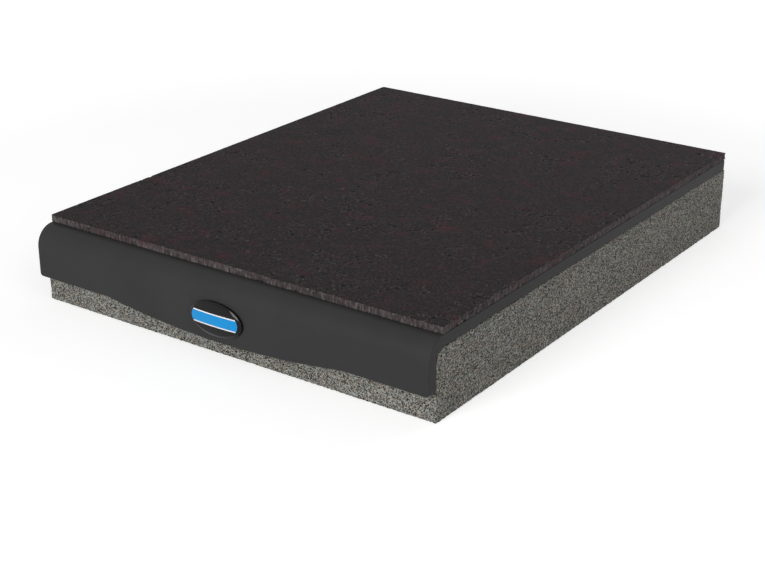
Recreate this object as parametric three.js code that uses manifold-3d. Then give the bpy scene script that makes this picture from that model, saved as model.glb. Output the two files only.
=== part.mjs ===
// Speaker isolation pad: a heavy folded steel plate between a foam base and a thin rubber mat, with an oval badge.
// The frame is in millimetres: X across the pad, Y from the front lip to the back edge, Z up. The origin lies on the
// surface that the pad stands on, under the middle of the plate.
import * as THREE from "three";
import { mergeVertices } from "three/addons/utils/BufferGeometryUtils.js";
import Module from "manifold-3d";

// Footprint of the plate, the lip included
const padWidth = 260;
const padDepth = 330;

// The three layers, and the bond line between each piece and the next
const foamThickness = 38;
const plateThickness = 6.35;
const matThickness = 4;
const bondLine = 0.3;

// The fold along the front edge and the lip below it
const bendInnerRadius = 5;
const lipHeight = 28.5;
const bellyWidth = 156;
const bellyDrop = 6.2;

// Corners, as seen square to the sheet that has them
const plateCornerRadius = 2;
const lipCornerRadius = 2;
const matCornerRadius = 1;

// The oval badge, which starts just below the bend
const badgeWidth = 35;
const badgeHeight = 19;
const badgeBelowBend = 0.3;
const badgeRimHeight = 1.6;
const badgeCrown = 1.1;
const badgeEdgeRadius = 1.1;

// How finely arcs are faceted
const bendSegments = 14;
const bellySegments = 40;
const cornerSegments = 6;
const badgeSegments = 64;
const crownSegments = 6;
const edgeSegments = 5;

// Levels and lines that follow from the sizes above
const cutMargin = 10;
const halfWidth = padWidth / 2;
const frontY = -padDepth / 2;
const backY = padDepth / 2;
const bendOuterRadius = bendInnerRadius + plateThickness;
const bendLineY = frontY + bendOuterRadius;
const plateUnderZ = foamThickness + bondLine;
const plateTopZ = plateUnderZ + plateThickness;
const matUnderZ = plateTopZ + bondLine;
const lipEndZ = plateTopZ - lipHeight;
const badgeCentreZ = plateTopZ - bendOuterRadius - badgeBelowBend - badgeHeight / 2;

const wasm = await Module();
wasm.setup();

// A closed geometry as a manifold solid: only positions are kept, and shared corners are merged.
function toSolid(geometry) {
  const bare = geometry.clone();
  bare.deleteAttribute("normal");
  bare.deleteAttribute("uv");
  const merged = mergeVertices(bare);
  return new wasm.Manifold(
    new wasm.Mesh({
      numProp: 3,
      vertProperties: merged.attributes.position.array,
      triVerts: new Uint32Array(merged.index.array),
    }),
  );
}

// A manifold solid as a flat-shaded geometry.
function toGeometry(solid) {
  const { vertProperties, triVerts } = solid.getMesh();
  const indexed = new THREE.BufferGeometry();
  indexed.setAttribute("position", new THREE.BufferAttribute(vertProperties, 3));
  indexed.setIndex(new THREE.BufferAttribute(triVerts, 1));
  const geometry = indexed.toNonIndexed();
  geometry.computeVertexNormals();
  return geometry;
}

// Extrudes an outline drawn in Y and Z along X, centred on X = 0.
function extrudeAlongX(outline, width, segments) {
  const geometry = new THREE.ExtrudeGeometry(outline, {
    depth: width,
    bevelEnabled: false,
    curveSegments: segments,
  });
  geometry.translate(0, 0, -width / 2);
  // The outline's own X and Y become Y and Z, and the extrusion's Z becomes X.
  geometry.applyMatrix4(new THREE.Matrix4().set(0, 0, 1, 0, 1, 0, 0, 0, 0, 1, 0, 0, 0, 0, 0, 1));
  return geometry;
}

// Extrudes an outline drawn in X and Y upwards from a level.
function extrudeUp(outline, bottomZ, height, segments) {
  const geometry = new THREE.ExtrudeGeometry(outline, {
    depth: height,
    bevelEnabled: false,
    curveSegments: segments,
  });
  geometry.translate(0, 0, bottomZ);
  return geometry;
}

// Extrudes an outline drawn in X and Z backwards, from one Y to another.
function extrudeBack(outline, fromY, toY, segments) {
  const geometry = new THREE.ExtrudeGeometry(outline, {
    depth: toY - fromY,
    bevelEnabled: false,
    curveSegments: segments,
  });
  geometry.rotateX(Math.PI / 2);
  geometry.translate(0, toY, 0);
  return geometry;
}

// Side view of the folded sheet: the flat plate, the bend and the lip down to its lowest point.
function plateProfile() {
  const bendCentreZ = plateTopZ - bendOuterRadius;
  const lipLowestZ = lipEndZ - bellyDrop;
  const profile = new THREE.Shape();
  profile.moveTo(backY, plateUnderZ);
  profile.lineTo(backY, plateTopZ);
  profile.lineTo(bendLineY, plateTopZ);
  profile.absarc(bendLineY, bendCentreZ, bendOuterRadius, Math.PI / 2, Math.PI, false);
  profile.lineTo(frontY, lipLowestZ);
  profile.lineTo(frontY + plateThickness, lipLowestZ);
  profile.lineTo(frontY + plateThickness, bendCentreZ);
  profile.absarc(bendLineY, bendCentreZ, bendInnerRadius, Math.PI, Math.PI / 2, true);
  profile.closePath();
  return profile;
}

// Front view of the sheet: square above, and below it the lip's edge, straight at both ends with a shallow belly
// between them that is one arc.
function lipOutline() {
  const halfBelly = bellyWidth / 2;
  const bellyRadius = (halfBelly ** 2 + bellyDrop ** 2) / (2 * bellyDrop);
  const bellyCentreZ = lipEndZ - bellyDrop + bellyRadius;
  const bellyAngle = Math.asin(halfBelly / bellyRadius);
  const cornerX = halfWidth - lipCornerRadius;
  const cornerZ = lipEndZ + lipCornerRadius;
  const outline = new THREE.Shape();
  outline.moveTo(-halfWidth, plateTopZ + cutMargin);
  outline.lineTo(-halfWidth, cornerZ);
  outline.absarc(-cornerX, cornerZ, lipCornerRadius, Math.PI, 1.5 * Math.PI, false);
  outline.lineTo(-halfBelly, lipEndZ);
  for (let i = 1; i <= bellySegments; i++) {
    const angle = bellyAngle * ((2 * i) / bellySegments - 1);
    outline.lineTo(bellyRadius * Math.sin(angle), bellyCentreZ - bellyRadius * Math.cos(angle));
  }
  outline.lineTo(cornerX, lipEndZ);
  outline.absarc(cornerX, cornerZ, lipCornerRadius, 1.5 * Math.PI, 2 * Math.PI, false);
  outline.lineTo(halfWidth, plateTopZ + cutMargin);
  outline.closePath();
  return outline;
}

// Plan of the sheet, with its rounded back corners. It runs past the front, where the lip ends the sheet.
function plateOutline() {
  const cornerX = halfWidth - plateCornerRadius;
  const cornerY = backY - plateCornerRadius;
  const outline = new THREE.Shape();
  outline.moveTo(-halfWidth, frontY - cutMargin);
  outline.lineTo(halfWidth, frontY - cutMargin);
  outline.lineTo(halfWidth, cornerY);
  outline.absarc(cornerX, cornerY, plateCornerRadius, 0, Math.PI / 2, false);
  outline.lineTo(-cornerX, backY);
  outline.absarc(-cornerX, cornerY, plateCornerRadius, Math.PI / 2, Math.PI, false);
  outline.closePath();
  return outline;
}

// One sheet, cut to its outline and folded.
function steelPlateGeometry() {
  const folded = toSolid(extrudeAlongX(plateProfile(), padWidth + 2 * cutMargin, bendSegments));
  const lipCut = toSolid(extrudeBack(lipOutline(), frontY - cutMargin, backY + cutMargin, cornerSegments));
  const planHeight = lipHeight + bellyDrop + 2 * cutMargin;
  const planCut = toSolid(
    extrudeUp(plateOutline(), plateTopZ + cutMargin - planHeight, planHeight, cornerSegments),
  );
  return toGeometry(folded.intersect(lipCut).intersect(planCut));
}

// A block cut to the plate's width. Its top front edge is rounded, as it beds into the inside of the bend.
function foamGeometry() {
  const foamFrontY = frontY + plateThickness + bondLine;
  const roundY = foamFrontY + bendInnerRadius;
  const roundZ = foamThickness - bendInnerRadius;
  const profile = new THREE.Shape();
  profile.moveTo(backY, 0);
  profile.lineTo(backY, foamThickness);
  profile.lineTo(roundY, foamThickness);
  profile.absarc(roundY, roundZ, bendInnerRadius, Math.PI / 2, Math.PI, false);
  profile.lineTo(foamFrontY, 0);
  profile.closePath();
  return extrudeAlongX(profile, padWidth, bendSegments);
}

// A die-cut sheet that covers the flat of the plate, from the bend to the back edge.
function matGeometry() {
  const cornerX = halfWidth - matCornerRadius;
  const lowY = bendLineY + matCornerRadius;
  const highY = backY - matCornerRadius;
  const outline = new THREE.Shape();
  outline.moveTo(-cornerX, bendLineY);
  outline.lineTo(cornerX, bendLineY);
  outline.absarc(cornerX, lowY, matCornerRadius, 1.5 * Math.PI, 2 * Math.PI, false);
  outline.lineTo(halfWidth, highY);
  outline.absarc(cornerX, highY, matCornerRadius, 0, Math.PI / 2, false);
  outline.lineTo(-cornerX, backY);
  outline.absarc(-cornerX, highY, matCornerRadius, Math.PI / 2, Math.PI, false);
  outline.lineTo(-halfWidth, lowY);
  outline.absarc(-cornerX, lowY, matCornerRadius, Math.PI, 1.5 * Math.PI, false);
  return extrudeUp(outline, 0, matThickness, cornerSegments);
}

// A domed oval: a flat back, a straight rim, a rounded edge and a low crown. It is turned as a round button of the
// badge's height and stretched to its width, with its back at height zero.
function badgeGeometry() {
  const rimRadius = badgeHeight / 2;
  const crownRadius = rimRadius - badgeEdgeRadius;
  const profile = [new THREE.Vector2(0, 0), new THREE.Vector2(rimRadius, 0)];
  for (let i = 0; i <= edgeSegments; i++) {
    const angle = (Math.PI / 2) * (i / edgeSegments);
    profile.push(
      new THREE.Vector2(
        crownRadius + badgeEdgeRadius * Math.cos(angle),
        badgeRimHeight - badgeEdgeRadius + badgeEdgeRadius * Math.sin(angle),
      ),
    );
  }
  for (let i = 1; i <= crownSegments; i++) {
    const share = 1 - i / crownSegments;
    profile.push(new THREE.Vector2(crownRadius * share, badgeRimHeight + badgeCrown * (1 - share ** 2)));
  }
  const geometry = new THREE.LatheGeometry(profile, badgeSegments);
  geometry.scale(badgeWidth / badgeHeight, 1, 1);
  return geometry;
}

// Colours and finishes
const finishes = {
  rubber: new THREE.MeshStandardMaterial({ color: 0x3a3536, roughness: 0.88, metalness: 0 }),
  powderCoat: new THREE.MeshStandardMaterial({ color: 0x303030, roughness: 0.5, metalness: 0.1 }),
  foam: new THREE.MeshStandardMaterial({ color: 0x6f6e69, roughness: 0.97, metalness: 0 }),
  glossBlack: new THREE.MeshStandardMaterial({ color: 0x0b0b0c, roughness: 0.15, metalness: 0 }),
};

function makePiece(name, geometry, finish, x = 0, y = 0, z = 0) {
  const piece = new THREE.Mesh(geometry, finish);
  piece.name = name;
  piece.position.set(x, y, z);
  return piece;
}

const topMat = makePiece("top_mat", matGeometry(), finishes.rubber, 0, 0, matUnderZ);
const steelPlate = makePiece("steel_plate", steelPlateGeometry(), finishes.powderCoat);
const foamBase = makePiece("foam_base", foamGeometry(), finishes.foam);

// The badge's turning axis points forwards, out of the lip.
const badgeBackY = frontY - bondLine;
const badge = makePiece("badge", badgeGeometry(), finishes.glossBlack, 0, badgeBackY, badgeCentreZ);
badge.rotation.x = Math.PI;

const platedLip = new THREE.Group();
platedLip.add(steelPlate, badge);

const pad = new THREE.Group();
pad.add(foamBase, platedLip, topMat);

export default pad;
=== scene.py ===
import math
import random

import bmesh
import bpy
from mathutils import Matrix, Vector
from mathutils.geometry import delaunay_2d_cdt


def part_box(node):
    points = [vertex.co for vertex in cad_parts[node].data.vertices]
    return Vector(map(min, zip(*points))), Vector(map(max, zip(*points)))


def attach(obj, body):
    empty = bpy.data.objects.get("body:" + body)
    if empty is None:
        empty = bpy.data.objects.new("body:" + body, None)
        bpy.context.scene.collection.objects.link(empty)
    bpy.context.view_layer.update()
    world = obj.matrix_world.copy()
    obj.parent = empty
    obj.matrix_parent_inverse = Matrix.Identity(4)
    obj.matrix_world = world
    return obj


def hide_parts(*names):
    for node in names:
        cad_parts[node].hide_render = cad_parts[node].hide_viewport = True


# Speaker isolation pad: a foam base, a folded steel plate, a rubber mat and an oval badge on the front lip

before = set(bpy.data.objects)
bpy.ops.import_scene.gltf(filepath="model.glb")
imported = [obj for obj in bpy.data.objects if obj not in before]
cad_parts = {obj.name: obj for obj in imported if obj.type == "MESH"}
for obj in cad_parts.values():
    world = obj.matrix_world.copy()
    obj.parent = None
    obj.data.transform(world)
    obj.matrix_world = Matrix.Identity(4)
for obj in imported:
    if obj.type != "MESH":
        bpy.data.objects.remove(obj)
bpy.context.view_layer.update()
mm = 0.001
print("frame loaded, nodes:", ", ".join(sorted(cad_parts)))


# Small tools for nodes, colours and meshes

def linear(hexColour):  # sRGB hex to the linear values that sockets take
    shares = [int(hexColour[i:i + 2], 16) / 255 for i in (1, 3, 5)]
    return tuple(s / 12.92 if s <= 0.04045 else ((s + 0.055) / 1.055) ** 2.4 for s in shares) + (1.0,)


def addNode(tree, kind, inputs=None, stops=(), **settings):
    # one node with its settings, the (position, hex) stops of a ramp, and what feeds each input: a value, a
    # socket, or another node, whose first output in use is taken
    node = tree.nodes.new(kind)
    for name, value in settings.items():
        setattr(node, name, value)
    for _ in stops[2:]:
        node.color_ramp.elements.new(1.0)
    for index, (position, colour) in enumerate(stops):
        node.color_ramp.elements[index].position = position
        node.color_ramp.elements[index].color = linear(colour)
    for socket, value in (inputs or {}).items():
        if isinstance(value, bpy.types.Node):
            value = next(output for output in value.outputs if output.enabled)
        if isinstance(value, bpy.types.NodeSocket):
            tree.links.new(value, node.inputs[socket])
        else:
            node.inputs[socket].default_value = value
    return node


def newMaterial(name):  # an empty tree and the object's own coordinates
    material = bpy.data.materials.new(name)
    material.use_nodes = True
    tree = material.node_tree
    tree.nodes.clear()
    return material, tree, addNode(tree, "ShaderNodeTexCoord").outputs["Object"]


def newGeometryTree(name, inputs):  # a geometry tree with named inputs: (name, kind of socket)
    tree = bpy.data.node_groups.new(name, "GeometryNodeTree")
    tree.interface.new_socket("Geometry", in_out="INPUT", socket_type="NodeSocketGeometry")
    tree.interface.new_socket("Geometry", in_out="OUTPUT", socket_type="NodeSocketGeometry")
    for label, kind in inputs:
        tree.interface.new_socket(label, in_out="INPUT", socket_type="NodeSocket" + kind)
    return tree, addNode(tree, "NodeGroupInput").outputs


def applyNodes(piece, tree, values):  # runs a node tree on a piece and keeps the result as a plain mesh
    modifier = piece.modifiers.new("shape", "NODES")
    modifier.node_group = tree
    for item in tree.interface.items_tree:
        if item.item_type == "SOCKET" and item.in_out == "INPUT" and item.name in values:
            modifier[item.identifier] = values[item.name]
    evaluated = piece.evaluated_get(bpy.context.evaluated_depsgraph_get())
    result = bpy.data.meshes.new_from_object(evaluated)
    result.name = piece.name
    piece.modifiers.remove(modifier)
    piece.data = result
    return piece


def meshObject(name, mesh):
    piece = bpy.data.objects.new(name, mesh)
    bpy.context.scene.collection.objects.link(piece)
    return piece


def spacedLine(start, end, spacing):  # points from start up to but not including end
    count = max(1, round((end - start).length / spacing))
    return [start.lerp(end, i / count) for i in range(count)]


def roundedRectangle(low, high, radius, spacing):  # counter-clockwise, from the front left corner
    corners = [(low.x, low.y, 180), (high.x, low.y, 270), (high.x, high.y, 0), (low.x, high.y, 90)]
    centreX, centreY = (low.x + high.x) / 2, (low.y + high.y) / 2
    arcSteps = 3
    points = []
    for x, y, startAngle in corners:
        middle = Vector((x + math.copysign(radius, centreX - x), y + math.copysign(radius, centreY - y)))
        arc = []
        for step in range(arcSteps + 1):
            angle = math.radians(startAngle + 90 * step / arcSteps)
            arc.append(middle + radius * Vector((math.cos(angle), math.sin(angle))))
        if points:
            points += spacedLine(points.pop(), arc[0], spacing)
        points += arc
    return points + spacedLine(points[-1], points[0], spacing)[1:]


def fillCap(outline, spacing, randomly):  # triangles inside an outline, whose own points come first
    jitter = 0.25  # of the spacing, so that the grid doesn't show
    mergeDistance = 1e-7
    xs, ys = [p.x for p in outline], [p.y for p in outline]
    width, depth = max(xs) - min(xs), max(ys) - min(ys)
    rows, columns = max(1, int(depth / spacing)), max(1, int(width / spacing))
    points = list(outline)
    for row in range(1, rows):
        for column in range(1, columns):
            x = min(xs) + (column + randomly.uniform(-jitter, jitter)) * width / columns
            y = min(ys) + (row + randomly.uniform(-jitter, jitter)) * depth / rows
            points.append(Vector((x, y)))
    made = delaunay_2d_cdt(points, [], [list(range(len(outline)))], 1, mergeDistance)
    source = [origins[0] for origins in made[3]]
    return points, [[source[v] for v in face] for face in made[2]]


def wallAndCaps(name, outline, levels, place, topSpacing, bottomSpacing, seed):
    # walls of rows of quads round an outline, with a cap below and above; place(x, y, level) gives each point
    randomly = random.Random(seed)
    around = len(outline)
    points, faces = [], []
    for level in levels:
        points += [place(p.x, p.y, level) for p in outline]
    for row in range(len(levels) - 1):
        low, high = row * around, (row + 1) * around
        for i in range(around):
            j = (i + 1) % around
            faces.append((low + i, low + j, high + j, high + i))
    caps = [(levels[0], bottomSpacing, 0, -1), (levels[-1], topSpacing, (len(levels) - 1) * around, 1)]
    for level, spacing, first, facing in caps:
        capPoints, capFaces = fillCap(outline, spacing, randomly)
        inner = len(points) - around
        points += [place(p.x, p.y, level) for p in capPoints[around:]]
        for face in capFaces:
            faces.append([(first if v < around else inner) + v for v in face[::facing]])
    mesh = bpy.data.meshes.new(name)
    mesh.from_pydata(points, [], faces)
    mesh.shade_smooth()
    return mesh


# Foam base: a block cut from open-cell foam, its cells opened by the cut

foam = {
    "cellSize": 1.2 * mm,  # real cells are just under 1 mm; drawn a little coarser so that they show
    "pitDepth": 0.4 * mm,
    "fleckSize": 0.8 * mm,  # of the noise between strands
    "reliefDepth": 0.3 * mm,
    "cornerRadius": 0.3 * mm,
    "bedRadius": 5 * mm,  # the top front edge, pressed into the inside of the plate's bend
    "bedReach": 14 * mm,  # how far behind the front the pressing is felt
    "wallSpacing": 0.71 * mm,  # of the mesh, as are the next two
    "underSpacing": 3.0 * mm,
    "hiddenSpacing": 12 * mm,
    "strand": "#afaeab",
    "midTone": "#585856",
    # painted shade: the dark grey deep inside each open cell
    "pitShade": "#141413",
    "tints": ("#ffebdf", "#fff9f2", "#f0f7ec", "#eef5fb"),  # multiplied over the grey, cell by cell
    "seed": 11,
}


def foamMaterial():
    # Open-cell polyurethane foam, knife-cut: a net of pale strands round open cells darkened towards their
    # depth with painted shade, so it looks like fine grey speckle with no shine at all, and the cells lean a
    # little brown, green or blue
    material, tree, coords = newMaterial("open-cell polyurethane foam")
    scale = 1 / foam["cellSize"]
    edges = addNode(tree, "ShaderNodeTexVoronoi", {"Vector": coords, "Scale": scale},
                    feature="DISTANCE_TO_EDGE")
    cells = addNode(tree, "ShaderNodeTexVoronoi", {"Vector": coords, "Scale": scale})
    chance = addNode(tree, "ShaderNodeSeparateColor", {"Color": cells.outputs["Color"]}).outputs
    fine = addNode(tree, "ShaderNodeTexNoise", {
        "Vector": coords, "Scale": 1 / foam["fleckSize"], "Detail": 1.0, "Distortion": 0.6})
    depth = addNode(tree, "ShaderNodeMapRange", {"Value": edges, "From Max": 0.3})
    share = addNode(tree, "ShaderNodeMapRange", {"Value": chance["Red"], "To Min": 0.35, "To Max": 0.85})
    hollowDepthAndShade = addNode(tree, "ShaderNodeMath", {0: depth, 1: share}, operation="MULTIPLY")
    flecks = addNode(tree, "ShaderNodeMath", {0: fine, 1: 1.7, 2: -0.75}, operation="MULTIPLY_ADD")
    level = addNode(tree, "ShaderNodeMath", {0: hollowDepthAndShade, 1: flecks}, operation="ADD")
    # the ramp turns depth in the cell into painted shade, from pale strands to dark cell floors; the fine
    # flecks add random tone
    greys = [(0.0, foam["strand"]), (0.42, foam["midTone"]), (0.95, foam["pitShade"])]
    speckleAndCellShade = addNode(tree, "ShaderNodeValToRGB", {"Fac": level}, greys)
    tints = [(i / (len(foam["tints"]) - 1), colour) for i, colour in enumerate(foam["tints"])]
    tint = addNode(tree, "ShaderNodeValToRGB", {"Fac": chance["Green"]}, tints)
    colour = addNode(tree, "ShaderNodeMix", {"Factor": 1.0, "A": speckleAndCellShade, "B": tint},
                     data_type="RGBA", blend_type="MULTIPLY")
    raised = addNode(tree, "ShaderNodeMath", {0: 1.0, 1: level}, operation="SUBTRACT")
    bump = addNode(tree, "ShaderNodeBump", {
        "Strength": 0.6, "Distance": foam["reliefDepth"], "Height": raised})
    shader = addNode(tree, "ShaderNodeBsdfPrincipled", {
        "Base Color": colour, "Normal": bump, "Roughness": 0.95, "Specular IOR Level": 0.1})
    addNode(tree, "ShaderNodeOutputMaterial", {"Surface": shader})
    return material


def foamCellTree():  # sinks the surface inside each cell, never above the cut face
    tree, given = newGeometryTree("open cells", [
        ("Cell Size", "Float"), ("Pit Depth", "Float"), ("Material", "Material")])
    position = addNode(tree, "GeometryNodeInputPosition")
    normal = addNode(tree, "GeometryNodeInputNormal")
    scale = addNode(tree, "ShaderNodeMath", {0: 1.0, 1: given["Cell Size"]}, operation="DIVIDE")
    cells = addNode(tree, "ShaderNodeTexVoronoi", {"Vector": position, "Scale": scale},
                    feature="DISTANCE_TO_EDGE")
    sunk = addNode(tree, "ShaderNodeMapRange", {
        "Value": cells, "From Min": 0.02, "From Max": 0.34, "To Min": 0.0, "To Max": -1.0})
    length = addNode(tree, "ShaderNodeMath", {0: sunk, 1: given["Pit Depth"]}, operation="MULTIPLY")
    offset = addNode(tree, "ShaderNodeVectorMath", {0: normal, "Scale": length}, operation="SCALE")
    moved = addNode(tree, "GeometryNodeSetPosition", {"Geometry": given["Geometry"], "Offset": offset})
    real = addNode(tree, "GeometryNodeRealizeInstances", {"Geometry": moved})
    painted = addNode(tree, "GeometryNodeSetMaterial", {"Geometry": real, "Material": given["Material"]})
    addNode(tree, "NodeGroupOutput", {"Geometry": painted})
    return tree


def makeFoam():
    low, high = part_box("foam_base")
    radius = foam["bedRadius"]
    straight = high.z - radius
    rows = round(straight / foam["wallSpacing"])
    levels = [(straight * i / rows, 0.0) for i in range(rows)]  # height, and how far the front is pushed back
    arcSteps = 6
    for step in range(arcSteps + 1):
        angle = math.pi / 2 * step / arcSteps
        levels.append((straight + radius * math.sin(angle), radius * (1 - math.cos(angle))))

    def place(x, y, level):
        height, pushed = level
        nearness = max(0.0, 1 - (y - low.y) / foam["bedReach"])
        return (x, y + pushed * nearness, height)

    outline = roundedRectangle(low, high, foam["cornerRadius"], foam["wallSpacing"])
    mesh = wallAndCaps("foamBlock", outline, levels, place, foam["hiddenSpacing"], foam["underSpacing"],
                       foam["seed"])
    block = applyNodes(meshObject("foamBlock", mesh), foamCellTree(), {
        "Cell Size": foam["cellSize"], "Pit Depth": foam["pitDepth"], "Material": foamMaterial()})
    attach(block, "root")
    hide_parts("foam_base")
    print("foam block:", len(block.data.polygons), "faces")


# Steel plate: one sheet, cut to its outline with softened edges and folded once along the front

plate = {
    "thickness": 6.35 * mm,
    "innerRadius": 5 * mm,
    "bellyWidth": 156 * mm,
    "bellyDrop": 6.2 * mm,
    "cornerRadius": 2 * mm,
    "edgeRadius": 0.55 * mm,
    "cornerSteps": 8,
    "bendRows": 14,
    "bellySteps": 48,
    "cloudSize": 40 * mm,  # of the drift in the black
    "peelSize": 1.1 * mm,
    "peelDepth": 0.06 * mm,
    "coat": "#363636",
    "coatThin": "#3a3a3a",
}


def powderCoatMaterial():
    # Powder-coated steel, satin black: baked polyester over blasted steel, so the black is soft and even,
    # with a faint orange peel that breaks up its wide dull highlights
    material, tree, coords = newMaterial("powder-coated steel")
    cloud = addNode(tree, "ShaderNodeTexNoise", {
        "Vector": coords, "Scale": 1 / plate["cloudSize"], "Detail": 3.0})
    peel = addNode(tree, "ShaderNodeTexNoise", {
        "Vector": coords, "Scale": 1 / plate["peelSize"], "Detail": 1.5})
    blacks = [(0.35, plate["coat"]), (0.7, plate["coatThin"])]
    colour = addNode(tree, "ShaderNodeValToRGB", {"Fac": cloud}, blacks)
    rough = addNode(tree, "ShaderNodeMapRange", {
        "Value": peel, "From Min": 0.3, "From Max": 0.7, "To Min": 0.42, "To Max": 0.52})
    bump = addNode(tree, "ShaderNodeBump", {
        "Strength": 0.35, "Distance": plate["peelDepth"], "Height": peel})
    shader = addNode(tree, "ShaderNodeBsdfPrincipled", {
        "Base Color": colour, "Roughness": rough, "Normal": bump, "Specular IOR Level": 0.06})
    addNode(tree, "ShaderNodeOutputMaterial", {"Surface": shader})
    return material


def blankOutline(half, lipEnd):  # counter-clockwise from the back left corner, with the belly along the lip
    radius, steps = plate["cornerRadius"], plate["cornerSteps"]
    halfBelly = plate["bellyWidth"] / 2
    bellyRadius = (halfBelly ** 2 + plate["bellyDrop"] ** 2) / (2 * plate["bellyDrop"])
    bellyAngle = math.asin(halfBelly / bellyRadius)
    corners = []
    for x, y, startAngle in (
        (radius - half, radius, 180),
        (half - radius, radius, 270),
        (half - radius, lipEnd - radius, 0),
        (radius - half, lipEnd - radius, 90),
    ):
        angles = [math.radians(startAngle + 90 * step / steps) for step in range(steps + 1)]
        corners.append([(x + radius * math.cos(a), y + radius * math.sin(a)) for a in angles])
    belly = []
    for i in range(plate["bellySteps"] + 1):
        angle = bellyAngle * (1 - 2 * i / plate["bellySteps"])
        drop = bellyRadius * math.cos(angle) - bellyRadius + plate["bellyDrop"]
        belly.append((bellyRadius * math.sin(angle), lipEnd + drop))
    return corners[0] + corners[1] + corners[2] + belly + corners[3]


def plateBlank(low, high):  # the flat blank: X across, Y from the back edge, Z down into the sheet
    outer = plate["innerRadius"] + plate["thickness"]
    flatLength = high.y - low.y - outer
    bendLength = outer * math.pi / 2
    lipEnd = flatLength + bendLength + (high.z - low.z - plate["bellyDrop"] - outer)
    shape = bmesh.new()
    shape.faces.new([shape.verts.new((x, y, 0)) for x, y in blankOutline(high.x, lipEnd)])
    for row in range(plate["bendRows"] + 1):
        height = flatLength + bendLength * row / plate["bendRows"]
        everything = shape.verts[:] + shape.edges[:] + shape.faces[:]
        bmesh.ops.bisect_plane(shape, geom=everything, plane_co=(0, height, 0), plane_no=(0, 1, 0))
    made = bmesh.ops.extrude_face_region(shape, geom=shape.faces[:])
    sunk = [v for v in made["geom"] if isinstance(v, bmesh.types.BMVert)]
    bmesh.ops.translate(shape, verts=sunk, vec=(0, 0, plate["thickness"]))
    bmesh.ops.recalc_face_normals(shape, faces=shape.faces[:])
    rims = []
    leastTurn = 0.5  # in the normal's upright share, where a flat face meets the sheet's cut side
    for edge in shape.edges:
        tilts = [abs(face.normal.z) for face in edge.link_faces]
        if max(tilts) - min(tilts) > leastTurn:
            rims.append(edge)
    bmesh.ops.bevel(shape, geom=rims, offset=plate["edgeRadius"], segments=3, profile=0.5, affect="EDGES")
    mesh = bpy.data.meshes.new("plateBlank")
    shape.to_mesh(mesh)
    shape.free()
    mesh.shade_smooth()
    return mesh, flatLength, outer


def foldTree():  # folds a flat blank over one bend line: flat, then a quarter turn, then straight down
    tree, given = newGeometryTree("fold the sheet", [
        ("Bend Start", "Float"), ("Outer Radius", "Float"), ("Back Edge", "Float"), ("Top Face", "Float"),
        ("Material", "Material")])
    position = addNode(tree, "GeometryNodeInputPosition")
    blank = addNode(tree, "ShaderNodeSeparateXYZ", {0: position}).outputs
    outer, bendStart = given["Outer Radius"], given["Bend Start"]
    along = addNode(tree, "ShaderNodeMath", {0: blank["Y"], 1: bendStart}, operation="SUBTRACT")
    onFlat = addNode(tree, "ShaderNodeMath", {0: along, 1: 0.0}, operation="MINIMUM")
    past = addNode(tree, "ShaderNodeMath", {0: along, 1: 0.0}, operation="MAXIMUM")
    turned = addNode(tree, "ShaderNodeMath", {0: past, 1: outer}, operation="DIVIDE")
    angle = addNode(tree, "ShaderNodeMath", {0: turned, 1: math.pi / 2}, operation="MINIMUM")
    beyond = addNode(tree, "ShaderNodeMath", {0: turned, 1: angle}, operation="SUBTRACT")
    onLip = addNode(tree, "ShaderNodeMath", {0: beyond, 1: outer}, operation="MULTIPLY")
    radius = addNode(tree, "ShaderNodeMath", {0: outer, 1: blank["Z"]}, operation="SUBTRACT")
    bendLine = addNode(tree, "ShaderNodeMath", {0: given["Back Edge"], 1: bendStart}, operation="SUBTRACT")
    centre = addNode(tree, "ShaderNodeMath", {0: given["Top Face"], 1: outer}, operation="SUBTRACT")
    sine = addNode(tree, "ShaderNodeMath", {0: angle}, operation="SINE")
    cosine = addNode(tree, "ShaderNodeMath", {0: angle}, operation="COSINE")
    forward = addNode(tree, "ShaderNodeMath", {0: radius, 1: sine, 2: onFlat}, operation="MULTIPLY_ADD")
    upward = addNode(tree, "ShaderNodeMath", {0: radius, 1: cosine, 2: centre}, operation="MULTIPLY_ADD")
    y = addNode(tree, "ShaderNodeMath", {0: bendLine, 1: forward}, operation="SUBTRACT")
    z = addNode(tree, "ShaderNodeMath", {0: upward, 1: onLip}, operation="SUBTRACT")
    folded = addNode(tree, "ShaderNodeCombineXYZ", {"X": blank["X"], "Y": y, "Z": z})
    moved = addNode(tree, "GeometryNodeSetPosition", {"Geometry": given["Geometry"], "Position": folded})
    real = addNode(tree, "GeometryNodeRealizeInstances", {"Geometry": moved})
    painted = addNode(tree, "GeometryNodeSetMaterial", {"Geometry": real, "Material": given["Material"]})
    addNode(tree, "NodeGroupOutput", {"Geometry": painted})
    return tree


def makePlate():
    low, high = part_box("steel_plate")
    mesh, flatLength, outer = plateBlank(low, high)
    sheet = applyNodes(meshObject("foldedPlate", mesh), foldTree(), {
        "Bend Start": flatLength, "Outer Radius": outer, "Back Edge": high.y, "Top Face": high.z,
        "Material": powderCoatMaterial()})
    shape = bmesh.new()
    shape.from_mesh(sheet.data)
    bmesh.ops.recalc_face_normals(shape, faces=shape.faces[:])
    shape.to_mesh(sheet.data)
    shape.free()
    weighted = sheet.modifiers.new("even faces", "WEIGHTED_NORMAL")
    weighted.weight = 100
    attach(sheet, "root")
    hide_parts("steel_plate")
    print("folded plate:", len(sheet.data.polygons), "faces")


# Top mat: a die-cut rectangle of speckled rubber sheet

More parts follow.
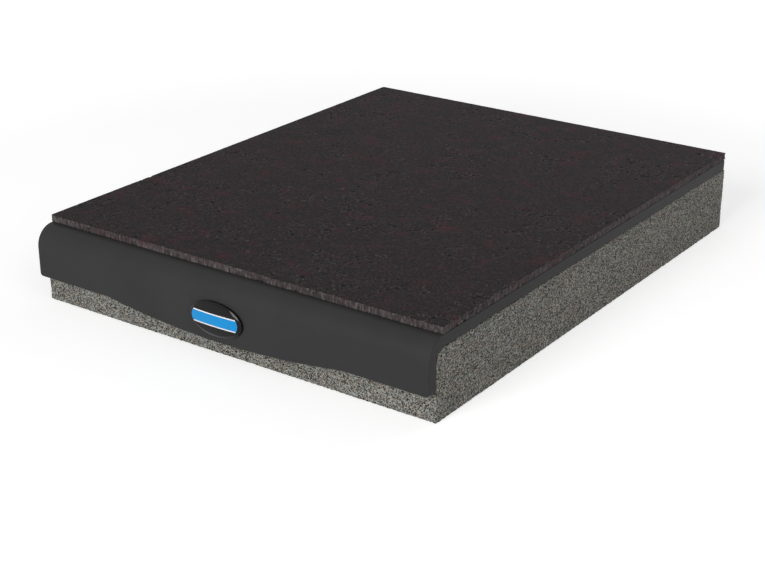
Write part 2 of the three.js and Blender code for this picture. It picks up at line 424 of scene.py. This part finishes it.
mat = {
    "edgeRadius": 0.35 * mm,
    "cornerRadius": 1 * mm,
    "grainSize": 1.6 * mm,
    "grainDepth": 0.1 * mm,
    "streakDepth": 0.14 * mm,
    "markSpacing": 3.4 * mm,  # of the crumb marks, the small pits that ground rubber leaves
    "markSize": 1.75 * mm,
    "markDepth": 0.35 * mm,
    "clusterSize": 28 * mm,  # the marks come in loose clusters
    "toneSize": 1.3 * mm,  # of the light and dark grain
    "driftSize": 24 * mm,  # of the slow change in tone
    "patchSize": 17 * mm,  # of the reddish patches
    "reliefDepth": 0.3 * mm,
    "faceSpacing": 1.12 * mm,  # of the mesh, as are the next two
    "wallSpacing": 0.8 * mm,
    "hiddenSpacing": 12 * mm,
    "wallRows": 7,
    "edgeSteps": 3,
    "fleck": "#45242e",
    # painted shade: the near-black inside each crumb pit
    "pitShade": "#0a0909",
    # painted highlight: the pale ring round each larger crumb pit, for light caught by its torn edge
    "rim": "#7d7577",
    "seed": 23,
}
# dark, middle and light of the grain, how its scale changes up the sheet, and how much shows of the red
# flecks, of the painted shade in the crumb pits and of the painted highlight round them
faceLook = {
    "tones": ("#090708", "#1f1a1b", "#3e3638"),
    "upScale": 1.0,
    "fleckShare": 0.5,
    "pitShadeShare": 0.95,
    "rimShare": 0.4,
}
cutLook = {
    "tones": ("#272324", "#453e3f", "#6e6768"),
    "upScale": 0.3,
    "fleckShare": 0.45,
    "pitShadeShare": 0.4,
    "rimShare": 0.0,
}


def crumbMarks(tree, vector, spacing, size, cluster):
    # in either kind of tree: how far inside a mark a point lies, nought at its edge, then how strong the mark
    # is, then the noise that makes its edge ragged
    perSpacing = addNode(tree, "ShaderNodeMath", {0: 1.0, 1: spacing}, operation="DIVIDE")
    perCluster = addNode(tree, "ShaderNodeMath", {0: 1.0, 1: cluster}, operation="DIVIDE")
    raggedScale = addNode(tree, "ShaderNodeMath", {0: 2.2, 1: spacing}, operation="DIVIDE")
    raggedReach = addNode(tree, "ShaderNodeMath", {0: spacing, 1: 0.9}, operation="MULTIPLY")
    ragged = addNode(tree, "ShaderNodeTexNoise", {"Vector": vector, "Scale": raggedScale, "Detail": 2.0})
    push = addNode(tree, "ShaderNodeVectorMath", {0: ragged.outputs["Color"], "Scale": raggedReach},
                   operation="SCALE")
    warped = addNode(tree, "ShaderNodeVectorMath", {0: vector, 1: push}, operation="ADD")
    cells = addNode(tree, "ShaderNodeTexVoronoi", {"Vector": warped, "Scale": perSpacing})
    chance = addNode(tree, "ShaderNodeSeparateXYZ", {0: cells.outputs["Color"]})
    where = addNode(tree, "ShaderNodeTexNoise", {"Vector": vector, "Scale": perCluster, "Detail": 3.0})
    ofMark = addNode(tree, "ShaderNodeMapRange", {"Value": chance, "From Min": 0.1, "From Max": 0.95})
    ofCluster = addNode(tree, "ShaderNodeMapRange", {"Value": where, "From Min": 0.42, "From Max": 0.56})
    strength = addNode(tree, "ShaderNodeMath", {0: ofMark, 1: ofCluster}, operation="MULTIPLY")
    sizeShare = addNode(tree, "ShaderNodeMath", {0: size, 1: spacing}, operation="DIVIDE")
    reach = addNode(tree, "ShaderNodeMath", {0: strength, 1: sizeShare}, operation="MULTIPLY")
    inside = addNode(tree, "ShaderNodeMath", {0: reach, 1: cells.outputs["Distance"]}, operation="SUBTRACT")
    return inside, strength, ragged


def rubberMaterial(name, look):
    # Reclaimed rubber sheet: ground black rubber with a little red-brown, pressed and vulcanised, so it is a
    # warm matt black with fine grain and faint reddish patches; its small pits get painted shade, with a
    # painted highlight round the larger ones on the face, and its knife-cut edge is paler and streaked
    material, tree, coords = newMaterial(name)
    drawn = addNode(tree, "ShaderNodeMapping", {"Vector": coords, "Scale": (1, 1, look["upScale"])})
    grain = addNode(tree, "ShaderNodeTexNoise", {
        "Vector": drawn, "Scale": 1 / mat["toneSize"], "Detail": 3.0, "Roughness": 0.7})
    cloud = addNode(tree, "ShaderNodeTexNoise", {
        "Vector": coords, "Scale": 1 / mat["driftSize"], "Detail": 2.0, "Roughness": 0.6})
    drift = addNode(tree, "ShaderNodeMapRange", {
        "Value": cloud, "From Min": 0.3, "From Max": 0.7, "To Min": -0.025, "To Max": 0.025})
    level = addNode(tree, "ShaderNodeMath", {0: drift, 1: grain}, operation="ADD")
    body = addNode(tree, "ShaderNodeValToRGB", {"Fac": level}, list(zip((0.32, 0.5, 0.7), look["tones"])))
    redNoise = addNode(tree, "ShaderNodeTexNoise", {
        "Vector": coords, "Scale": 1 / mat["patchSize"], "Detail": 6.0, "Roughness": 0.74})
    red = addNode(tree, "ShaderNodeMapRange", {
        "Value": redNoise, "From Min": 0.53, "From Max": 0.66, "To Max": look["fleckShare"]})
    flecked = addNode(tree, "ShaderNodeMix", {"Factor": red, "A": body, "B": linear(mat["fleck"])},
                      data_type="RGBA")

    inside, strength, ragged = crumbMarks(
        tree, coords, mat["markSpacing"], mat["markSize"], mat["clusterSize"])
    pits = addNode(tree, "ShaderNodeMapRange", {"Value": inside, "From Max": 0.1})
    # painted highlight: a pale torn ring round the larger pits, for light caught by their edges
    around = addNode(tree, "ShaderNodeMapRange", {"Value": inside, "From Min": -0.12, "From Max": -0.03})
    torn = addNode(tree, "ShaderNodeMapRange", {"Value": ragged, "From Min": 0.47, "From Max": 0.55})
    large = addNode(tree, "ShaderNodeMapRange", {"Value": strength, "From Min": 0.25, "From Max": 0.5})
    highlightRing = addNode(tree, "ShaderNodeMath", {0: around, 1: pits}, operation="SUBTRACT")
    tornRingHighlight = addNode(tree, "ShaderNodeMath", {0: highlightRing, 1: torn}, operation="MULTIPLY")
    rims = addNode(tree, "ShaderNodeMath", {0: tornRingHighlight, 1: large}, operation="MULTIPLY")
    rimHighlightTint = addNode(tree, "ShaderNodeMath", {0: rims, 1: look["rimShare"]}, operation="MULTIPLY")
    # painted shade: darkens the rubber where its surface is sunk into the crumb pits
    pitShadeTint = addNode(tree, "ShaderNodeMath", {0: pits, 1: look["pitShadeShare"]}, operation="MULTIPLY")
    rimHighlighted = addNode(tree, "ShaderNodeMix", {"Factor": rimHighlightTint, "A": flecked, "B": linear(mat["rim"])},
                     data_type="RGBA")
    colour = addNode(tree, "ShaderNodeMix", {"Factor": pitShadeTint, "A": rimHighlighted, "B": linear(mat["pitShade"])},
                     data_type="RGBA")
    height = addNode(tree, "ShaderNodeMath", {0: level, 1: pits}, operation="SUBTRACT")
    bump = addNode(tree, "ShaderNodeBump", {
        "Strength": 0.5, "Distance": mat["reliefDepth"], "Height": height})
    shader = addNode(tree, "ShaderNodeBsdfPrincipled", {
        "Base Color": colour, "Normal": bump, "Roughness": 0.85, "Specular IOR Level": 0.15})
    addNode(tree, "ShaderNodeOutputMaterial", {"Surface": shader})
    return material


def rubberTree():  # grain and crumb marks on the faces, upright knife streaks on the cut edge
    tree, given = newGeometryTree("rubber grain", [
        ("Grain Size", "Float"), ("Grain Depth", "Float"), ("Streak Depth", "Float"),
        ("Mark Spacing", "Float"), ("Mark Size", "Float"), ("Mark Depth", "Float"), ("Cluster Size", "Float"),
        ("Face Material", "Material"), ("Cut Material", "Material")])
    position = addNode(tree, "GeometryNodeInputPosition")
    normal = addNode(tree, "GeometryNodeInputNormal")
    tilt = addNode(tree, "ShaderNodeSeparateXYZ", {0: normal}).outputs["Z"]
    flatness = addNode(tree, "ShaderNodeMath", {0: tilt}, operation="ABSOLUTE")
    isCut = addNode(tree, "FunctionNodeCompare", {"A": flatness, "B": 0.5}, operation="LESS_THAN")
    squeezed = addNode(tree, "ShaderNodeVectorMath", {0: position, 1: (1.3, 1.3, 0.2)}, operation="MULTIPLY")
    where = addNode(tree, "GeometryNodeSwitch", {"Switch": isCut, "False": position, "True": squeezed},
                    input_type="VECTOR")
    grainDepth = addNode(tree, "GeometryNodeSwitch", {
        "Switch": isCut, "False": given["Grain Depth"], "True": given["Streak Depth"]}, input_type="FLOAT")
    grainScale = addNode(tree, "ShaderNodeMath", {0: 1.0, 1: given["Grain Size"]}, operation="DIVIDE")
    grain = addNode(tree, "ShaderNodeTexNoise", {"Vector": where, "Scale": grainScale, "Detail": 2.0})
    sunk = addNode(tree, "ShaderNodeMapRange", {
        "Value": grain, "From Min": 0.3, "From Max": 0.7, "To Min": -1.0, "To Max": 0.0})
    grainLength = addNode(tree, "ShaderNodeMath", {0: sunk, 1: grainDepth}, operation="MULTIPLY")
    inside = crumbMarks(tree, position, given["Mark Spacing"], given["Mark Size"], given["Cluster Size"])[0]
    pits = addNode(tree, "ShaderNodeMapRange", {"Value": inside, "From Max": 0.1})
    pitLength = addNode(tree, "ShaderNodeMath", {0: pits, 1: given["Mark Depth"]}, operation="MULTIPLY")
    length = addNode(tree, "ShaderNodeMath", {0: grainLength, 1: pitLength}, operation="SUBTRACT")
    offset = addNode(tree, "ShaderNodeVectorMath", {0: normal, "Scale": length}, operation="SCALE")
    moved = addNode(tree, "GeometryNodeSetPosition", {"Geometry": given["Geometry"], "Offset": offset})
    real = addNode(tree, "GeometryNodeRealizeInstances", {"Geometry": moved})
    faces = addNode(tree, "GeometryNodeSetMaterial", {"Geometry": real, "Material": given["Face Material"]})
    cuts = addNode(tree, "GeometryNodeSetMaterial", {
        "Geometry": faces, "Selection": isCut, "Material": given["Cut Material"]})
    addNode(tree, "NodeGroupOutput", {"Geometry": cuts})
    return tree


def makeMat():
    low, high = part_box("top_mat")
    centre = (low + high) / 2
    radius, rows, steps = mat["edgeRadius"], mat["wallRows"], mat["edgeSteps"]
    wallTop = high.z - radius
    # each level is (height, inset of the edge)
    levels = [(low.z + (wallTop - low.z) * i / rows, 0.0) for i in range(rows)]
    for step in range(steps + 1):
        angle = math.pi / 2 * step / steps
        levels.append((wallTop + radius * math.sin(angle), radius * (1 - math.cos(angle))))

    def place(x, y, level):
        height, inset = level
        shrinkX = 1 - inset / (high.x - centre.x)
        shrinkY = 1 - inset / (high.y - centre.y)
        return (centre.x + (x - centre.x) * shrinkX, centre.y + (y - centre.y) * shrinkY, height)

    outline = roundedRectangle(low, high, mat["cornerRadius"], mat["wallSpacing"])
    mesh = wallAndCaps("rubberMat", outline, levels, place, mat["faceSpacing"], mat["hiddenSpacing"],
                       mat["seed"])
    sheet = applyNodes(meshObject("rubberMat", mesh), rubberTree(), {
        "Grain Size": mat["grainSize"], "Grain Depth": mat["grainDepth"], "Streak Depth": mat["streakDepth"],
        "Mark Spacing": mat["markSpacing"], "Mark Size": mat["markSize"], "Mark Depth": mat["markDepth"],
        "Cluster Size": mat["clusterSize"],
        "Face Material": rubberMaterial("reclaimed rubber sheet", faceLook),
        "Cut Material": rubberMaterial("reclaimed rubber sheet, knife-cut edge", cutLook)})
    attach(sheet, "root")
    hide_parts("top_mat")
    print("rubber mat:", len(sheet.data.polygons), "faces")


# Badge: a domed oval, printed under clear resin

badge = {
    "segments": 96,
    "domeRings": 12,
    "rimShare": 0.45,  # of the whole thickness
    "shoulderShare": 0.72,
    "shoulderWidth": 1.5 * mm,
    "bandHalf": 2.9 * mm,  # the blue band's half height
    "lineWidth": 0.65 * mm,
    "faceShare": 0.87,  # the printed field as a share of the oval
    "black": "#0a0a0b",
    "blue": "#0590d6",
    "white": "#f2f2f2",
}


def badgeMaterial(centre, halfWidth, halfHeight):
    # Cast resin over a printed label: hard and clear, so it has a sharp gloss over flat saturated ink
    material, tree, coords = newMaterial("cast resin badge")
    toOval = (1 / (halfWidth * badge["faceShare"]), 0, 1 / (halfHeight * badge["faceShare"]))
    fromCentre = addNode(tree, "ShaderNodeVectorMath", {0: coords, 1: tuple(centre)}, operation="SUBTRACT")
    oval = addNode(tree, "ShaderNodeVectorMath", {0: fromCentre, 1: toOval}, operation="MULTIPLY")
    away = addNode(tree, "ShaderNodeVectorMath", {0: oval}, operation="LENGTH")
    up = addNode(tree, "ShaderNodeSeparateXYZ", {0: fromCentre}).outputs["Z"]
    height = addNode(tree, "ShaderNodeMath", {0: up}, operation="ABSOLUTE")
    inField = addNode(tree, "ShaderNodeMath", {0: away, 1: 1.0}, operation="LESS_THAN")
    colour = linear(badge["black"])
    for reach, ink in ((badge["bandHalf"] + badge["lineWidth"], "white"), (badge["bandHalf"], "blue")):
        inStripe = addNode(tree, "ShaderNodeMath", {0: height, 1: reach}, operation="LESS_THAN")
        printed = addNode(tree, "ShaderNodeMath", {0: inStripe, 1: inField}, operation="MULTIPLY")
        colour = addNode(tree, "ShaderNodeMix", {"Factor": printed, "A": colour, "B": linear(badge[ink])},
                         data_type="RGBA")
    shader = addNode(tree, "ShaderNodeBsdfPrincipled", {
        "Base Color": colour, "Roughness": 0.35, "Specular IOR Level": 0.0,
        "Coat Weight": 1.0, "Coat IOR": 1.3, "Coat Roughness": 0.05})
    addNode(tree, "ShaderNodeOutputMaterial", {"Surface": shader})
    return material


def makeBadge():
    low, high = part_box("badge")
    centre = (low + high) / 2
    halfWidth, halfHeight = (high.x - low.x) / 2, (high.z - low.z) / 2
    thickness = high.y - low.y
    shoulder = badge["shoulderWidth"]
    rimTop = thickness * badge["rimShare"]
    shoulderTop = thickness * badge["shoulderShare"]
    # the rim's rings: (inset from the oval, distance out of the lip)
    rim = [
        (0.0, 0.0), (0.0, rimTop * 0.5), (0.0, rimTop * 0.85), (0.05 * mm, rimTop),
        (0.18 * mm, rimTop + 0.12 * mm), (shoulder * 0.85, shoulderTop - 0.06 * mm), (shoulder, shoulderTop)]
    rings = [(halfWidth - inset, halfHeight - inset, out) for inset, out in rim]
    for step in range(1, badge["domeRings"]):
        share = 1 - step / badge["domeRings"]
        rise = (thickness - shoulderTop) * (1 - share ** 2)
        rings.append(((halfWidth - shoulder) * share, (halfHeight - shoulder) * share, shoulderTop + rise))
    shape = bmesh.new()
    rows = []
    for radiusX, radiusZ, out in rings:
        row = []
        for i in range(badge["segments"]):
            angle = 2 * math.pi * i / badge["segments"]
            row.append(shape.verts.new((
                centre.x + radiusX * math.cos(angle), high.y - out, centre.z + radiusZ * math.sin(angle))))
        rows.append(row)
    top = shape.verts.new((centre.x, low.y, centre.z))
    for i in range(badge["segments"]):
        j = (i + 1) % badge["segments"]
        for lower, upper in zip(rows, rows[1:]):
            shape.faces.new((lower[i], lower[j], upper[j], upper[i]))
        shape.faces.new((rows[-1][i], rows[-1][j], top))
    shape.faces.new(rows[0][::-1])
    bmesh.ops.recalc_face_normals(shape, faces=shape.faces[:])
    mesh = bpy.data.meshes.new("ovalBadge")
    shape.to_mesh(mesh)
    shape.free()
    mesh.shade_smooth()
    mesh.materials.append(badgeMaterial(centre, halfWidth, halfHeight))
    piece = meshObject("ovalBadge", mesh)
    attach(piece, "root")
    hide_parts("badge")
    print("oval badge:", len(mesh.polygons), "faces")


# Floor, light and camera

studio = {
    "floorSize": 12.0,
    "floorGap": 0.05 * mm,  # keeps the floor clear of the foam's underside
    "floor": "#ececec",
    "white": "#ffffff",
    "floorLift": (0.5, 1.0),  # added for the camera and in reflections, near the object and far away
    "liftReach": (0.35, 1.4),  # metres from the middle
    "worldStrength": 0.25,
    "lensMm": 73.44,
    "sensorMm": 36,
    "clip": (0.01, 100),
    "azimuth": 35.36,
    "elevation": 23.12,
    "cameraPlace": (489.6 * mm, -709.1 * mm, 349.9 * mm),
}
# name: (azimuth from the front, elevation, distance, size, what it adds to a white wall that faces it)
lamps = {
    "keyLamp": (0, 24, 2.4, 1.1, 0.58),
    "fillLamp": (65, 24, 2.4, 1.5, 0.2),
    "backLamp": (165, 22, 2.4, 1.5, 0.22),
}


def seenDirectly(tree):  # one for camera, glossy and transmission rays, nought for what lights the object
    rays = addNode(tree, "ShaderNodeLightPath").outputs
    either = addNode(tree, "ShaderNodeMath", {0: rays["Is Camera Ray"], 1: rays["Is Glossy Ray"]},
                     operation="ADD")
    total = addNode(tree, "ShaderNodeMath", {0: either, 1: rays["Is Transmission Ray"]}, operation="ADD")
    return addNode(tree, "ShaderNodeMath", {0: total, 1: 1.0}, operation="MINIMUM")


def makeFloor():
    half, drop = studio["floorSize"] / 2, -studio["floorGap"]
    mesh = bpy.data.meshes.new("paleFloor")
    corners = [(-half, -half, drop), (half, -half, drop), (half, half, drop), (-half, half, drop)]
    mesh.from_pydata(corners, [], [(0, 1, 2, 3)])
    # Matt white paint: no shine, and lifted to the white of the room where it is seen directly, so that only
    # the object's shadow shows on it
    material, tree, coords = newMaterial("matt white paint")
    away = addNode(tree, "ShaderNodeVectorMath", {0: coords}, operation="LENGTH")
    near, far = studio["liftReach"]
    liftNear, liftFar = studio["floorLift"]
    level = addNode(tree, "ShaderNodeMapRange", {
        "Value": away, "From Min": near, "From Max": far, "To Min": liftNear, "To Max": liftFar})
    lift = addNode(tree, "ShaderNodeMath", {0: seenDirectly(tree), 1: level}, operation="MULTIPLY")
    shader = addNode(tree, "ShaderNodeBsdfPrincipled", {
        "Base Color": linear(studio["floor"]), "Roughness": 0.9, "Specular IOR Level": 0.0,
        "Emission Color": linear(studio["white"]), "Emission Strength": lift})
    addNode(tree, "ShaderNodeOutputMaterial", {"Surface": shader})
    mesh.materials.append(material)
    meshObject("paleFloor", mesh)


def makeWorld():
    world = bpy.data.worlds.new("soft white room")
    bpy.context.scene.world = world
    world.use_nodes = True
    tree = world.node_tree
    tree.nodes.clear()
    strength = addNode(tree, "ShaderNodeMapRange", {
        "Value": seenDirectly(tree), "To Min": studio["worldStrength"], "To Max": 1.0})
    background = addNode(tree, "ShaderNodeBackground", {
        "Color": linear(studio["white"]), "Strength": strength})
    addNode(tree, "ShaderNodeOutputWorld", {"Surface": background})


def makeLamps():
    for name, (azimuth, elevation, distance, size, level) in lamps.items():
        light = bpy.data.lights.new(name, "AREA")
        light.size = size
        light.energy = level * math.pi ** 2 * distance ** 2
        lamp = bpy.data.objects.new(name, light)
        a, e = math.radians(azimuth), math.radians(elevation)
        towards = Vector((math.sin(a) * math.cos(e), -math.cos(a) * math.cos(e), math.sin(e)))
        lamp.location = towards * distance
        lamp.rotation_euler = towards.to_track_quat("Z", "Y").to_euler()
        bpy.context.scene.collection.objects.link(lamp)


def makeCamera():
    lens = bpy.data.cameras.new("camera")
    lens.sensor_fit = "HORIZONTAL"
    lens.sensor_width = studio["sensorMm"]
    lens.lens = studio["lensMm"]
    lens.clip_start, lens.clip_end = studio["clip"]
    camera = bpy.data.objects.new("camera", lens)
    camera.location = studio["cameraPlace"]
    camera.rotation_euler = (math.radians(90 - studio["elevation"]), 0, math.radians(studio["azimuth"]))
    bpy.context.scene.collection.objects.link(camera)
    bpy.context.scene.camera = camera


makeCamera()
makeFoam()
makePlate()
makeMat()
makeBadge()
makeFloor()
makeWorld()
makeLamps()
bpy.context.scene.view_settings.view_transform = "Standard"
print("floor, world, lamps and camera placed")
